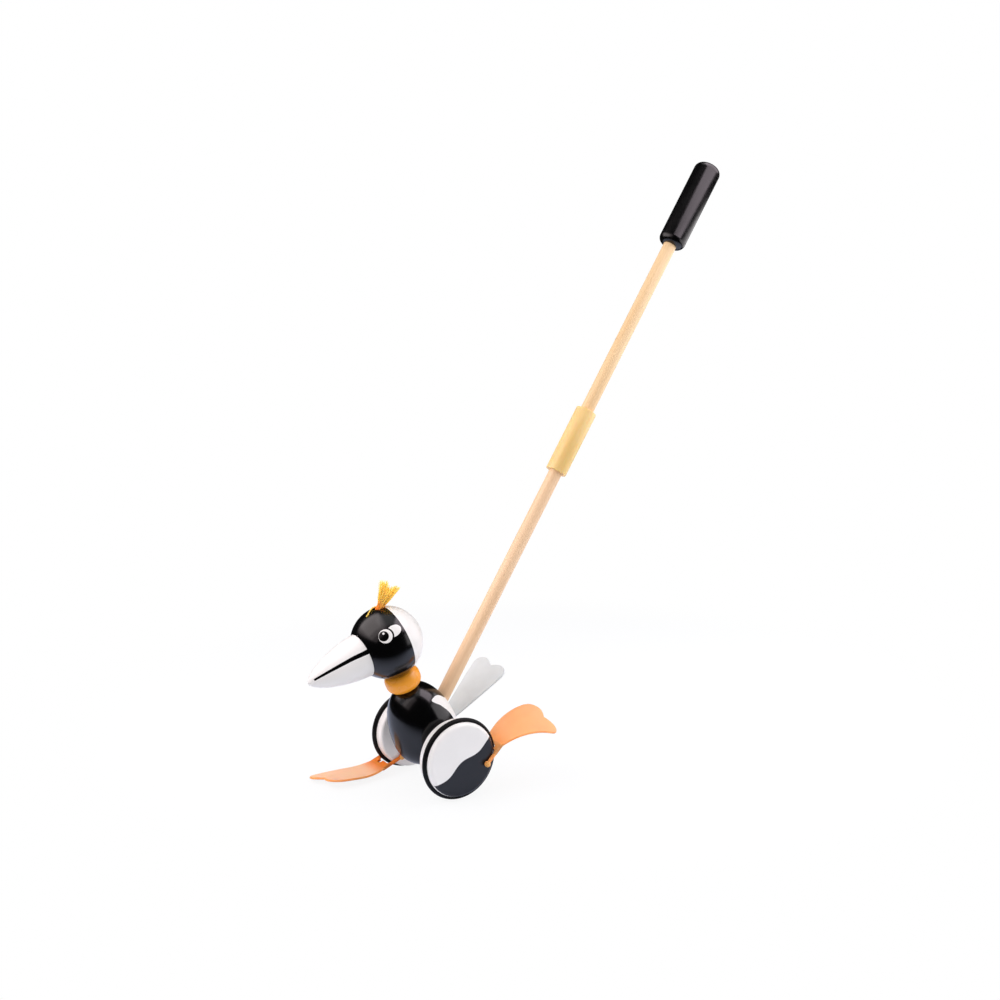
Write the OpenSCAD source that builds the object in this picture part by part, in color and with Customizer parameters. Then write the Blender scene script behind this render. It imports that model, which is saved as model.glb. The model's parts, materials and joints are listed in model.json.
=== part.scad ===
// Bird push toy: a turned wooden bird on two rubber-tyred wheels.
// A webbed foot swings on a pin through each wheel, and a jointed push stick rises from the back.
// The bird faces -Y, its left side is +X, and the tyres stand on z = 0.

/* [Wheels] */
// Diameter of each wooden wheel
wheel_d = 63; // [56:0.5:80]
// Thickness of each wheel
wheel_w = 17.6; // [14:0.2:24]
// Rounding of each wheel's outer edge
wheel_outer_round = 4; // [1:0.25:5]
// Rounding of each wheel's inner edge
wheel_inner_round = 2.2; // [0.5:0.1:4]
// Distance between the wheels' inner faces
wheel_gap = 67; // [64:0.5:90]
// Distance of the tyre's middle from the wheel's outer face
tyre_inset = 6.3; // [5.5:0.1:9]
// Thickness of the rubber tyre ring
tyre_d = 4.8; // [3:0.1:5.2]
// Depth that the tyre ring sinks into its groove
tyre_sink = 1.8; // [0.5:0.1:2]

/* [Axle] */
// Diameter of the axle dowel
axle_d = 8; // [5:0.5:10]
// Depth of the blind axle hole in each wheel
axle_socket = 11; // [6:0.5:13]
// Diameter of the spacer collars on the axle
spacer_d = 12.5; // [11:0.5:16]
// Depth of the flat seat that each spacer has in the body
spacer_seat = 0.5; // [0.2:0.1:3]

/* [Body] */
// Largest diameter of the turned body
body_d = 57.6; // [50:0.5:62]
// Height of the body from the axle to the neck, along its lean
body_rise = 58; // [50:0.5:75]
// Depth of the body below the axle, along its lean
body_drop = 14; // [10:0.5:22]
// Height of the body's widest part above the axle, along its lean
belly_rise = 13.2; // [6:0.2:20]
// Diameter of the body's flat top
body_top_d = 19; // [14:0.5:30]
// Distance of the body's middle line in front of the axle
body_forward = 1.5; // [0:0.1:4]
// Forward lean of the body and neck, in degrees
body_lean = 23.2; // [10:0.5:35]

/* [Neck] */
// Diameter of the neck ring
ring_d = 30.8; // [26:0.2:42]
// Thickness of the neck ring
ring_h = 17; // [15:0.5:24]
// Rounding of the neck ring's edges
ring_round = 7.1; // [3:0.1:8]
// Diameter of the dowel that joins the body, ring and head
neck_dowel_d = 10; // [6:0.5:12]
// Depth of the neck dowel in the body and in the head
neck_dowel_depth = 16; // [8:0.5:22]

/* [Head] */
// Diameter of the head ball
head_d = 60.4; // [52:0.5:72]
// Diameter of the flat that seats the head on the neck ring
head_seat_d = 20; // [14:0.5:28]
// Downward slope of the beak, in degrees
beak_slope = 18.5; // [0:0.5:35]
// Diameter of the beak where it meets the head
beak_d = 37; // [24:0.5:44]
// Length of the beak
beak_len = 51; // [30:0.5:70]
// Bluntness of the beak's curve
beak_swell = 1.6; // [1.2:0.05:2.2]
// Diameter of the dowel that joins the beak and head
beak_dowel_d = 8; // [5:0.5:10]
// Depth of the beak dowel in the beak and in the head
beak_dowel_depth = 15; // [8:0.5:20]

/* [Crest] */
// Diameter of the hole for the yarn crest
crest_hole_d = 6.6; // [4:0.2:8]
// Depth of the hole for the yarn crest
crest_hole_depth = 10; // [5:0.5:14]
// Forward angle of the crest hole on the head, in degrees
crest_angle = 11; // [0:0.5:15]
// Height of the crest above the head
crest_h = 24.5; // [12:0.5:30]
// Diameter of the crest's loose ends
crest_top_d = 19; // [8:0.5:20]
// Backward lean of the crest's loose ends, in degrees
crest_lean = 28; // [0:0.5:30]

/* [Feet] */
// Length of each foot from its pin to the toes
foot_len = 74.9; // [60:0.1:85]
// Width of each foot across the toes
foot_toe_w = 35.4; // [28:0.2:38]
// Thickness of the feet
foot_t = 1.8; // [1.4:0.1:3]
// Depth of the notch between the toes
toe_notch = 4; // [1:0.1:6]
// Depth of the rounding at the outer corners of the toes
toe_round = 7; // [5:0.5:14]
// Distance of each foot pin from the wheel's rim
pin_inset = 7.6; // [6.5:0.1:11.5]
// Diameter of each foot pin
pin_d = 3; // [2:0.1:4]
// Diameter of the domed heads of the foot pins
pin_head_d = 5; // [4:0.1:6]
// Height of the domed heads of the foot pins
pin_head_h = 1.8; // [1:0.1:2]
// Thickness of each leg of the fork
leg_t = 2.2; // [1.6:0.1:3]
// Width of each leg of the fork at its eye
leg_w = 2.8; // [2:0.1:4]
// Distance of the outer toe from the middle of the wheel's thickness
foot_spread = 18; // [18:0.1:26]
// Extra length of the outer toe over the inner toe
toe_step = 13; // [0:0.5:18]
// Swing of each foot either side of straight out, in degrees
foot_swing = 62; // [30:1:64]
// Direction of the left foot's pin from the axle, in degrees above the rear
left_pin_angle = -17; // [-180:0.2:180]
// Direction of the right foot's pin from the axle, in degrees above the rear
right_pin_angle = 238; // [0:0.2:360]
// Swing of the left foot as it stands, in degrees
left_foot_turn = 61.5; // [-62:0.5:62]
// Swing of the right foot as it stands, in degrees
right_foot_turn = -36; // [-62:0.5:62]
// Bend along the left foot, in degrees
left_foot_bend = 60; // [0:1:65]
// Bend along the right foot, in degrees
right_foot_bend = 24; // [0:1:60]
// Part of the left foot's length over which it bends, from its fork
left_bend_part = 1.05; // [0.3:0.05:1.1]
// Part of the right foot's length over which it bends, from its fork
right_bend_part = 0.45; // [0.3:0.05:1.1]
// Sideways twist of the left foot's toes, in degrees
left_foot_twist = 35; // [0:1:40]
// Sideways twist of the right foot's toes, in degrees
right_foot_twist = 9; // [0:1:35]

/* [Tail] */
// Length of the tail from its root in the body to its tip
tail_len = 65.4; // [40:0.2:75]
// Width of the tail at its tip
tail_tip_w = 41; // [24:0.5:44]
// Width of the tail at the body
tail_root_w = 20; // [10:0.5:20]
// Upward slope of the tail, in degrees
tail_slope = 40.5; // [20:0.5:60]
// Distance of the tail's root behind the axle
tail_back = 13.3; // [10:0.1:18]
// Distance of the tail's root above the axle
tail_rise = 18.8; // [12:0.1:24]
// Length of the tail's flat root, held in the body's slot
tail_hold = 8; // [7:0.5:14]
// Sideways twist of the tail, in degrees
tail_twist = 8; // [0:1:20]

/* [Stick] */
// Diameter of the push stick
stick_d = 12; // [10:0.5:16]
// Backward lean of the stick, in degrees
stick_lean = 32.3; // [15:0.1:45]
// Distance of the stick's line in front of the axle
stick_offset = 14.1; // [12:0.1:17]
// Distance of the stick's lower end from axle height, along the stick
stick_start = 18; // [12:0.5:26]
// Distance of the joint in the stick from axle height, along the stick
stick_joint = 297.3; // [220:0.1:360]
// Length of the sleeve that joins the two halves of the stick
sleeve_len = 62; // [40:0.5:90]
// Diameter of the sleeve
sleeve_d = 19; // [15:0.5:24]
// Rounding of the sleeve's ends
sleeve_round = 0.6; // [0.2:0.1:1.2]
// Distance of the grip's top from axle height, along the stick
grip_end = 589.4; // [500:0.1:700]
// Length of the grip
grip_len = 86; // [70:0.5:120]
// Diameter of the grip
grip_d = 25; // [20:0.5:32]
// Rounding of the grip's ends
grip_round = 6; // [2:0.25:9]
// Depth of the stick's hole in the grip
grip_socket = 62; // [40:0.5:66]

/* [Fits] */
// Clearance round glued dowels, sticks and seats
glue_gap = 0.05; // [0.02:0.01:0.1]
// Clearance round turning axles and pins
run_gap = 0.08; // [0.05:0.01:0.1]
// Clearance between faces that move past each other
side_gap = 0.4; // [0.3:0.05:0.8]

/* [Hidden] */
$fn = 96;
wood_black = "#1b1a1c";
wood_white = "#efece8";
wood_plain = "#e2c49a";
rubber_black = "#242327";
rubber_orange = "#fdb278";
ochre = "#e0a04a";

wheel_r = wheel_d / 2;
tyre_r = tyre_d / 2;
tyre_ring_r = wheel_r + tyre_r - tyre_sink;
axle_h = tyre_ring_r + tyre_r;
wheel_in = wheel_gap / 2;
wheel_out = wheel_in + wheel_w;
tyre_x = wheel_out - tyre_inset;
axle_len = 2 * (wheel_in + axle_socket - glue_gap);

body_r = body_d / 2;
body_top_r = body_top_d / 2;
// The body's outline is a fuller curve than an ellipse, and closes to its flat top
body_swell = 2.15;
crown_h = (body_rise - belly_rise) / pow(1 - pow(body_top_r / body_r, body_swell), 1 / body_swell);
base_h = belly_rise + body_drop;
profile_steps = 20;
// The spacer seats lie just inside the body at the lower edge of the spacers
spacer_in = egg_r(-spacer_d / 2) - spacer_seat;
spacer_w = wheel_in - side_gap - spacer_in;

head_r = head_d / 2;
ring_top = body_rise + ring_h;
head_lift = ring_top + sqrt(head_r * head_r - head_seat_d * head_seat_d / 4);
beak_r = beak_d / 2;
beak_seat = sqrt(head_r * head_r - beak_r * beak_r);
// The strands of the crest part above the hole into a wider bunch that just clears the head
crest_swell = 1.5;
crest_root_d = crest_swell * crest_hole_d;
crest_neck = crest_root_d / 2 * sin(crest_angle + crest_lean) + side_gap;

stick_r = stick_d / 2;
sleeve_start = stick_joint - sleeve_len / 2;
grip_r = grip_d / 2;
grip_start = grip_end - grip_len;
stick_end = grip_start + grip_socket;

// The fork straddles the wheel, so its middle is the middle of the wheel's thickness
fork_x = wheel_in + wheel_w / 2;
fork_half = wheel_w / 2 + side_gap;
pin_reach = wheel_r - pin_inset;
pin_dome_r = (pin_head_d * pin_head_d / 4 + pin_head_h * pin_head_h) / (2 * pin_head_h);
foot_root_half = fork_half + leg_t;
// The yoke of a foot just clears the wheel, and the notch in it the tyre, at the end of the foot's swing
function clear_of(radius) = sqrt(pow(radius + side_gap, 2)
  - pow(pin_reach * sin(foot_swing) - leg_w / 2, 2)) - pin_reach * cos(foot_swing);
yoke_start = clear_of(wheel_r);
fork_len = clear_of(axle_h);
flap_across = 12;
flap_along = 16;
foot_flare = 2;
tail_flare = 1.3;

// The origin lies under the middle of the toy's length
beak_tip_y = -body_forward - head_lift * sin(body_lean) - (beak_seat + beak_len) * cos(beak_slope);
grip_back_y = -stick_offset + (grip_end - grip_round) * sin(stick_lean)
  + (grip_r - grip_round) * cos(stick_lean) + grip_round;
mid_y = (beak_tip_y + grip_back_y) / 2;

// Moves a shape from the axle's frame to the toy's frame
module at_axle() {
  translate([0, -mid_y, axle_h]) children();
}

// Turns +Z to the body's lean, with its origin at axle height
module on_lean() {
  at_axle() translate([0, -body_forward, 0]) rotate([body_lean, 0, 0]) children();
}

// Places a shape at the head's middle, upright
module at_head() {
  on_lean() translate([0, 0, head_lift]) rotate([-body_lean, 0, 0]) children();
}

// Turns +Z to the beak's line, with the head's middle at the origin
module on_beak_line() {
  at_head() rotate([90 + beak_slope, 0, 0]) children();
}

// Turns +Z to the crest hole's line, with the head's middle at the origin
module on_crest_line() {
  at_head() rotate([crest_angle, 0, 0]) children();
}

// Turns +Z to the stick's line, with its origin at axle height
module on_stick_line() {
  at_axle() translate([0, -stick_offset, 0]) rotate([-stick_lean, 0, 0]) children();
}

// Turns +Z outwards along the axle of one side
module on_axle_line(side) {
  at_axle() rotate([0, side * 90, 0]) children();
}

// Half outline of a turned cylinder whose ends are rounded
module turned_outline(r, h, low_round, high_round) {
  difference() {
    union() {
      translate([0, low_round]) square([r, h - low_round - high_round]);
      square([r - low_round, h / 2]);
      translate([0, h / 2]) square([r - high_round, h / 2]);
      translate([r - low_round, low_round]) circle(low_round);
      translate([r - high_round, h - high_round]) circle(high_round);
    }
    translate([-r, -h]) square([r, 3 * h]);
  }
}

// Radius of the egg-shaped body at a height above the axle
function egg_r(z) =
  let (t = z > belly_rise ? (z - belly_rise) / crown_h : (belly_rise - z) / base_h)
  body_r * pow(max(0, 1 - pow(t, body_swell)), 1 / body_swell);

module body() {
  low = [for (i = [0 : profile_steps]) belly_rise - base_h * cos(90 * i / profile_steps)];
  high = [for (i = [1 : profile_steps]) belly_rise + (body_rise - belly_rise) * sin(90 * i / profile_steps)];
  outline = [for (z = concat(low, high)) [egg_r(z), z]];
  color(wood_black) difference() {
    on_lean() rotate_extrude() polygon(concat(outline, [[0, body_rise]]));
    on_axle_line(1) cylinder(h = body_d, r = axle_d / 2 + run_gap, center = true);
    for (side = [-1, 1]) on_axle_line(side) translate([0, 0, spacer_in])
      cylinder(h = body_r, d = spacer_d + 2 * glue_gap);
    on_lean() translate([0, 0, body_rise - neck_dowel_depth])
      cylinder(h = neck_dowel_depth + body_r, d = neck_dowel_d + 2 * glue_gap);
    on_stick_line() translate([0, 0, stick_start]) cylinder(h = crown_h, d = stick_d + 2 * glue_gap);
    on_tail_line() translate([-tail_root_w / 2 - glue_gap, -glue_gap, -foot_t / 2 - glue_gap])
      cube([tail_root_w + 2 * glue_gap, body_r, foot_t + 2 * glue_gap]);
  }
}

module neck_dowel() {
  low = body_rise - neck_dowel_depth + glue_gap;
  color(wood_plain) on_lean() translate([0, 0, low])
    cylinder(h = 2 * (neck_dowel_depth - glue_gap) + ring_h, d = neck_dowel_d);
}

module neck_ring() {
  color(ochre) on_lean() translate([0, 0, body_rise]) difference() {
    rotate_extrude() turned_outline(ring_d / 2, ring_h, ring_round, ring_round);
    translate([0, 0, -ring_h]) cylinder(h = 3 * ring_h, d = neck_dowel_d + 2 * glue_gap);
  }
}

module head() {
  color(wood_black) difference() {
    on_beak_line() rotate_extrude() intersection() {
      circle(head_r);
      translate([0, -head_r]) square([head_r, head_r + beak_seat]);
    }
    on_lean() translate([0, 0, ring_top - head_d]) cylinder(h = head_d, r = head_r);
    on_lean() cylinder(h = ring_top + neck_dowel_depth, d = neck_dowel_d + 2 * glue_gap);
    on_beak_line() translate([0, 0, beak_seat - beak_dowel_depth])
      cylinder(h = head_r, d = beak_dowel_d + 2 * glue_gap);
    on_crest_line() translate([0, 0, head_r - crest_hole_depth])
      cylinder(h = head_r, d = crest_hole_d + 2 * glue_gap);
  }
}

module beak() {
  side = [for (i = [0 : profile_steps]) sin(90 * i / profile_steps)];
  outline = [for (t = side) [beak_r * pow(max(0, 1 - pow(t, beak_swell)), 1 / beak_swell), beak_len * t]];
  color(wood_white) on_beak_line() translate([0, 0, beak_seat]) difference() {
    rotate_extrude() polygon(concat([[0, 0]], outline));
    translate([0, 0, -beak_len]) cylinder(h = beak_len + beak_dowel_depth, d = beak_dowel_d + 2 * glue_gap);
  }
}

module beak_dowel() {
  color(wood_plain) on_beak_line() translate([0, 0, beak_seat - beak_dowel_depth + glue_gap])
    cylinder(h = 2 * (beak_dowel_depth - glue_gap), d = beak_dowel_d);
}

module crest_tuft() {
  color(ochre) on_crest_line() translate([0, 0, head_r]) {
    translate([0, 0, glue_gap - crest_hole_depth])
      cylinder(h = crest_hole_depth + crest_neck + crest_hole_d / 2, d = crest_hole_d);
    translate([0, 0, crest_neck]) rotate([-crest_angle - crest_lean, 0, 0])
      cylinder(h = crest_h - crest_neck, d1 = crest_root_d, d2 = crest_top_d);
  }
}

// Points of a bent and twisted web, from a root line to two toes
// at(u, v) runs u across from -1 to 1 and v along from 0 to 1
function end_of(u, len, step, notch, rounding) = len + step * u / 2 - (abs(u) < 0.5
  ? notch * pow(1 - 2 * abs(u), 1.5)
  : rounding * (1 - sqrt(max(0, 1 - pow(2 * abs(u) - 1, 2)))));

// Place along a strip that runs straight, bends down evenly between two places, and runs straight again
// bend holds the first place, the last place and the whole angle
function bent(s, bend) =
  let (k = max(bend[2], 0.01) / (bend[1] - bend[0]))
  let (a = k * max(0, min(s, bend[1]) - bend[0]))
  let (r = 180 / (PI * k))
  let (rest = max(0, s - bend[1]))
  [min(s, bend[0]) + r * sin(a) + rest * cos(a), -r * (1 - cos(a)) - rest * sin(a), a];

// One point of the web: half widths, flare, length, bend, twist and splay shape its middle surface
// The first part of its length, up to the hold, stays flat and even
function web_point(u, v, n, root, root_half, tip_half, flare, len, step, bend, twist, splay, hold) =
  let (s = root + v * (end_of(u, len, step, toe_notch, toe_round) - root))
  let (f = max(0, (s - root) / (len - root) - hold) / (1 - hold))
  let (g = max(0, v - hold) / (1 - hold))
  let (x = u * (root_half + (tip_half - root_half) * (1 - pow(1 - g, flare))))
  let (p = bent(s, bend))
  let (lift = n * cos(twist * f) - x * sin(twist * f))
  [
    x * cos(twist * f) + n * sin(twist * f) + splay * pow(f, 1.5),
    p[0] + lift * sin(p[2]),
    p[1] + lift * cos(p[2])
  ];

// A closed web of even thickness, with its root line along X and its length along +Y
module web(root, root_half, tip_half, flare, len, step, bend, twist, splay, hold) {
  cols = flap_across + 1;
  layer = cols * (flap_along + 1);
  points = [
    for (n = [foot_t / 2, -foot_t / 2], j = [0 : flap_along], i = [0 : flap_across])
      web_point(sin(90 * (2 * i / flap_across - 1)), j / flap_along, n,
        root, root_half, tip_half, flare, len, step, bend, twist, splay, hold)
  ];
  quads = [
    for (j = [0 : flap_along - 1], i = [0 : flap_across - 1])
      let (a = j * cols + i)
      each [[a, a + cols, a + cols + 1, a + 1],
        [layer + a, layer + a + 1, layer + a + cols + 1, layer + a + cols]]
  ];
  ends = [
    for (i = [0 : flap_across - 1])
      let (b = flap_along * cols + i)
      each [[i, i + 1, layer + i + 1, layer + i], [b, layer + b, layer + b + 1, b + 1]]
  ];
  sides = [
    for (j = [0 : flap_along - 1])
      let (a = j * cols)
      let (b = a + flap_across)
      each [[a, layer + a, layer + a + cols, a + cols], [b, b + cols, layer + b + cols, layer + b]]
  ];
  faces = [for (q = concat(quads, ends, sides)) each [[q[0], q[1], q[2]], [q[0], q[2], q[3]]]];
  polyhedron(points, faces);
}

// A leg of the fork: an eye round the pin and a strap that runs on into the web
module leg(x) {
  translate([x, 0, 0]) rotate([90, 0, 90]) linear_extrude(leg_t) difference() {
    union() {
      circle(d = pin_head_d);
      translate([0, -leg_w / 2]) square([fork_len + leg_w, leg_w]);
    }
    circle(pin_d / 2 + run_gap);
  }
}

// The yoke that joins the two legs at the root of the web, with a notch for the tyre
module yoke() {
  translate([0, 0, -leg_w / 2]) linear_extrude(leg_w) difference() {
    translate([-foot_root_half, yoke_start])
      square([2 * foot_root_half, fork_len + leg_w - yoke_start]);
    translate([tyre_x - fork_x - tyre_r - side_gap, 0])
      square([2 * (tyre_r + side_gap), fork_len]);
  }
}

// A left foot in its own frame: pin along X at the origin, fork along +Y
module foot(angle, bend_part, twist) {
  splay = foot_spread - foot_toe_w / 2 * cos(twist);
  bend = [yoke_start, yoke_start + bend_part * (foot_len - yoke_start), angle];
  web(fork_len, foot_root_half, foot_toe_w / 2, foot_flare, foot_len, toe_step, bend, twist, splay, 0);
  yoke();
  leg(fork_half);
  leg(-fork_half - leg_t);
}

// Puts a shape at a foot's pin, turned with the wheel
module at_pin(side, angle, turn) {
  at_axle() rotate([angle, 0, 0]) translate([side * fork_x, pin_reach, 0]) rotate([turn, 0, 0]) children();
}

module left_foot() {
  color(rubber_orange) at_pin(1, left_pin_angle, left_foot_turn)
    foot(left_foot_bend, left_bend_part, left_foot_twist);
}

module right_foot() {
  color(rubber_orange) at_pin(-1, right_pin_angle, right_foot_turn)
    mirror([1, 0, 0]) foot(right_foot_bend, right_bend_part, -right_foot_twist);
}

module foot_pin() {
  half = fork_half + leg_t + side_gap / 2;
  rotate([0, 90, 0]) {
    cylinder(h = 2 * half, d = pin_d, center = true);
    for (end = [-1, 1]) mirror([0, 0, (1 - end) / 2]) translate([0, 0, half]) intersection() {
      translate([0, 0, pin_head_h - pin_dome_r]) sphere(r = pin_dome_r);
      cylinder(h = pin_head_d, r = 2 * pin_dome_r);
    }
  }
}

module left_foot_pin() {
  color(ochre) at_pin(1, left_pin_angle, 0) foot_pin();
}

module right_foot_pin() {
  color(ochre) at_pin(-1, right_pin_angle, 0) foot_pin();
}

// Turns +Y to the tail's line, with its root at the origin
module on_tail_line() {
  at_axle() translate([0, tail_back, tail_rise]) rotate([tail_slope, 0, 0]) children();
}

module tail() {
  hold = tail_hold / tail_len;
  color(wood_white) on_tail_line()
    web(0, tail_root_w / 2, tail_tip_w / 2, tail_flare, tail_len, 0, [0, tail_len, 0], tail_twist, 0, hold);
}

module wheel(side, angle) {
  color(wood_white) difference() {
    on_axle_line(side) translate([0, 0, wheel_in]) difference() {
      rotate_extrude() turned_outline(wheel_r, wheel_w, wheel_inner_round, wheel_outer_round);
      translate([0, 0, wheel_w - tyre_inset]) rotate_extrude() translate([tyre_ring_r, 0])
        circle(tyre_r + glue_gap);
      translate([0, 0, -axle_socket]) cylinder(h = 2 * axle_socket, d = axle_d + 2 * glue_gap);
    }
    at_pin(side, angle, 0) rotate([0, 90, 0])
      cylinder(h = 2 * wheel_w, d = pin_d + 2 * glue_gap, center = true);
  }
}

module left_wheel() {
  wheel(1, left_pin_angle);
}

module right_wheel() {
  wheel(-1, right_pin_angle);
}

module tyre(side) {
  color(rubber_black) on_axle_line(side) translate([0, 0, tyre_x]) rotate_extrude()
    translate([tyre_ring_r, 0]) circle(tyre_r);
}

module left_tyre() {
  tyre(1);
}

module right_tyre() {
  tyre(-1);
}

module axle() {
  color(wood_plain) on_axle_line(1) cylinder(h = axle_len, d = axle_d, center = true);
}

module spacer(side) {
  color(wood_plain) on_axle_line(side) translate([0, 0, spacer_in]) difference() {
    cylinder(h = spacer_w, d = spacer_d);
    translate([0, 0, -spacer_w]) cylinder(h = 3 * spacer_w, r = axle_d / 2 + run_gap);
  }
}

module left_spacer() {
  spacer(1);
}

module right_spacer() {
  spacer(-1);
}

module lower_stick() {
  color(wood_plain) on_stick_line() translate([0, 0, stick_start + glue_gap])
    cylinder(h = stick_joint - stick_start - glue_gap, d = stick_d);
}

module upper_stick() {
  color(wood_plain) on_stick_line() translate([0, 0, stick_joint])
    cylinder(h = stick_end - stick_joint - glue_gap, d = stick_d);
}

module stick_sleeve() {
  color(ochre) on_stick_line() translate([0, 0, sleeve_start]) difference() {
    rotate_extrude() turned_outline(sleeve_d / 2, sleeve_len, sleeve_round, sleeve_round);
    translate([0, 0, -sleeve_len]) cylinder(h = 3 * sleeve_len, d = stick_d + 2 * glue_gap);
  }
}

module grip() {
  color(wood_black) on_stick_line() translate([0, 0, grip_start]) difference() {
    rotate_extrude() turned_outline(grip_r, grip_len, grip_round, grip_round);
    translate([0, 0, -grip_socket]) cylinder(h = 2 * grip_socket, d = stick_d + 2 * glue_gap);
  }
}

body();
neck_dowel();
neck_ring();
head();
beak();
beak_dowel();
crest_tuft();
tail();
lower_stick();
stick_sleeve();
upper_stick();
grip();
left_spacer();
right_spacer();
axle();
left_wheel();
right_wheel();
left_tyre();
right_tyre();
left_foot_pin();
right_foot_pin();
left_foot();
right_foot();
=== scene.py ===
import json
import math
import random

import bmesh
import bpy
from mathutils import Matrix, Vector


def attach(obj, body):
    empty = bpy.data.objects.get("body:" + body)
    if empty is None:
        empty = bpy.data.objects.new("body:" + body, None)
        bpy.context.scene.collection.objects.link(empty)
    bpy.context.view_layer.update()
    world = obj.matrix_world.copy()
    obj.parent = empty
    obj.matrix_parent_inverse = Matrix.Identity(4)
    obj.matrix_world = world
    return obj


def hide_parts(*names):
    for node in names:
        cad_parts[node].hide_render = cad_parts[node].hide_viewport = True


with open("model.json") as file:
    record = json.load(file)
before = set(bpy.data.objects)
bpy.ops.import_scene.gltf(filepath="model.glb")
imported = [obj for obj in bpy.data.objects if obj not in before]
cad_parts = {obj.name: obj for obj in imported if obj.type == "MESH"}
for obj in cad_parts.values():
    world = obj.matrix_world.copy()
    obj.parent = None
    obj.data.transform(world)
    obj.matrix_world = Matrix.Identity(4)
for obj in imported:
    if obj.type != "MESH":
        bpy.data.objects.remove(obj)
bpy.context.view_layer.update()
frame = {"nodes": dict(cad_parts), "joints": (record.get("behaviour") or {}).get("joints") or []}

# ---------------- sizes, in millimetres and degrees
MM = 0.001
AXLE_Y, AXLE_Z = (v / MM for v in frame["joints"][0]["pos_m"][1:])

BODY_R, BODY_RISE, BODY_DROP, BELLY_RISE = 28.8, 58.0, 14.0, 13.2
BODY_FORWARD, BODY_LEAN, BODY_SWELL = 1.5, 23.2, 2.15
CROWN_H, BASE_H = 46.86, 27.2
BODY_EASE = 0.8

HEAD_R, HEAD_LIFT, RING_TOP = 30.2, 103.496, 75.0
BEAK_SLOPE, BEAK_R, BEAK_SEAT, BEAK_LEN, BEAK_SWELL = 18.5, 18.5, 23.87, 51.0, 1.6
BEAK_EASE = 0.4
PAINT_BLEED = 0.07

CREST_ANGLE, CREST_LEAN, CREST_H = 11.0, 28.0, 24.5
CREST_HOLE_R, CREST_TOP_R = 3.1, 9.2

WHEEL_R, WHEEL_W, WHEEL_IN = 31.5, 17.6, 33.5
WHEEL_INNER_ROUND, WHEEL_OUTER_ROUND = 2.2, 4.0
TYRE_INSET, TYRE_RING_R, TYRE_R = 6.3, 32.1, 2.4
AXLE_BORE_R, AXLE_SOCKET, BORE_RIM, BACK_RIM, FACE_RIM = 4.05, 11.0, 1.0, 0.4, 0.6

PIN_REACH, FORK_X, FORK_HALF, YOKE_START, FORK_LEN = 23.9, 42.3, 9.2, 13.868, 17.586
PIN_BORE_R, LEG_EYE_R, LEG_T, LEG_W = 1.58, 2.5, 2.2, 2.8
NOTCH_X, NOTCH_R, NOTCH_END = 2.5, 2.6, 17.3
FOOT_LEN, FOOT_ROOT_HALF, FOOT_TOE_W, SHEET_T = 74.9, 11.4, 35.4, 1.8
TOE_STEP, TOE_NOTCH, TOE_ROUND, FOOT_SPREAD = 13.0, 4.0, 7.0, 18.0
LONG_TOE_ROUND, NOTCH_POWER, SPLAY_POWER, LEAST_BEND = 1.5, 1.5, 1.5, 0.01
FOOT_FLARE, TAIL_FLARE = 2.0, 1.3
LEFT_PIN, RIGHT_PIN = -17.0, 238.0
# A bend runs from one place along the foot to another, through so many degrees.
FEET = {
    "left": dict(side=1, pin=LEFT_PIN, turn=61.5, bend=(YOKE_START, 77.95, 60.0), twist=35.0),
    "right": dict(side=-1, pin=RIGHT_PIN, turn=-36.0, bend=(YOKE_START, 41.33, 24.0), twist=-9.0),
}

TAIL_LEN, TAIL_ROOT_HALF, TAIL_TIP_HALF = 65.4, 10.0, 20.5
TAIL_SLOPE, TAIL_BACK, TAIL_RISE, TAIL_HOLD, TAIL_TWIST = 40.5, 13.3, 18.8, 8.0, 8.0

STICK_OFFSET, STICK_LEAN, STICK_R, STICK_GAP = 14.1, 32.3, 6.0, 0.06
SLEEVE_START, SLEEVE_LEN, SLEEVE_R, SLEEVE_LIP, SLEEVE_EASE = 266.3, 62.0, 9.5, 0.4, 0.45

# How finely each turned piece is cut: round it, and along its outline.
BODY_TURNS, HEAD_TURNS, BEAK_TURNS, WHEEL_TURNS, SLEEVE_TURNS = 240, 256, 200, 220, 128
BODY_STEPS, HEAD_STEPS, BEAK_STEPS, BEAK_CROWD = 110, 150, 110, 1.7
WHEEL_BACK_STEPS, WHEEL_ROUND_STEPS, WHEEL_EDGE_STEPS, WHEEL_FACE_STEPS = 6, 10, 16, 40


def turn_x(degrees):
    return Matrix.Rotation(math.radians(degrees), 4, "X")


def shift(x, y, z):
    return Matrix.Translation((x, y, z))


# Each piece is drawn in millimetres in its own axes, and its place puts it in the part's frame.
at_axle = shift(0, AXLE_Y, AXLE_Z)
on_lean = at_axle @ shift(0, -BODY_FORWARD, 0) @ turn_x(BODY_LEAN)
at_head = on_lean @ shift(0, 0, HEAD_LIFT) @ turn_x(-BODY_LEAN)
on_beak = at_head @ turn_x(90 + BEAK_SLOPE)
on_crest = at_head @ turn_x(CREST_ANGLE) @ shift(0, 0, HEAD_R) @ turn_x(-CREST_ANGLE - CREST_LEAN)
on_stick = at_axle @ shift(0, -STICK_OFFSET, 0) @ turn_x(-STICK_LEAN)
on_tail = at_axle @ shift(0, TAIL_BACK, TAIL_RISE) @ turn_x(TAIL_SLOPE)
across_axle = at_axle @ Matrix.Rotation(math.radians(90), 4, "Y")


def at_pin(side, pin, turn):
    return at_axle @ turn_x(pin) @ shift(side * FORK_X, PIN_REACH, 0) @ turn_x(turn)


def on_axle(side):
    return at_axle @ Matrix.Rotation(math.radians(side * 90), 4, "Y") @ shift(0, 0, WHEEL_IN)


# ---------------- materials


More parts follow.
